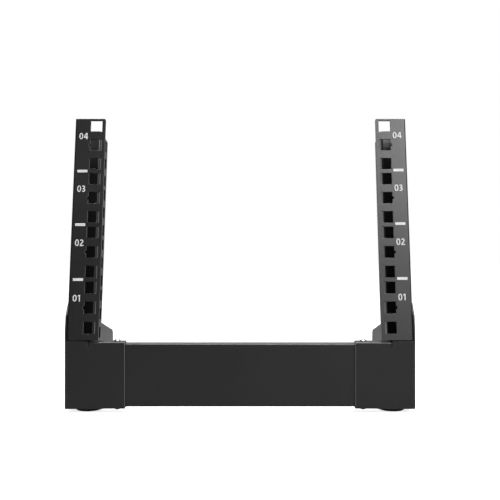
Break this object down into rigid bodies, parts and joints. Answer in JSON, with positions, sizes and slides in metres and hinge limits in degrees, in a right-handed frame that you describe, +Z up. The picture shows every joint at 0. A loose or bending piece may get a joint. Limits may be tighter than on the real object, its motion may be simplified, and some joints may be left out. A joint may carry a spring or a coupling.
{
  "type": "desktop equipment rack",
  "caption": "Open two-post desktop rack: perforated folded uprights leaning back on a low sheet base with a front crossbar and rubber feet, for small rack equipment.",
  "frame": {"origin": "on the desk under the middle of the base", "axes": "+X to the rack's right seen from the front, +Y to the back, +Z up"},
  "size_m": [0.2744, 0.202, 0.2354],
  "materials": {
    "black_steel": "fine satin black powder coat on folded steel sheet",
    "rubber": "matte black moulded rubber",
    "screw_steel": "bright zinc-plated small screws",
    "white_print": "white screen-printed unit numbers and unit marks"
  },
  "bodies": {
    "root": {"left_base_side": "black_steel", "right_base_side": "black_steel", "left_upright": "black_steel", "right_upright": "black_steel", "front_crossbar": "black_steel", "front_left_foot": "rubber", "front_right_foot": "rubber", "rear_left_foot": "rubber", "rear_right_foot": "rubber"}
  },
  "joints": []
}
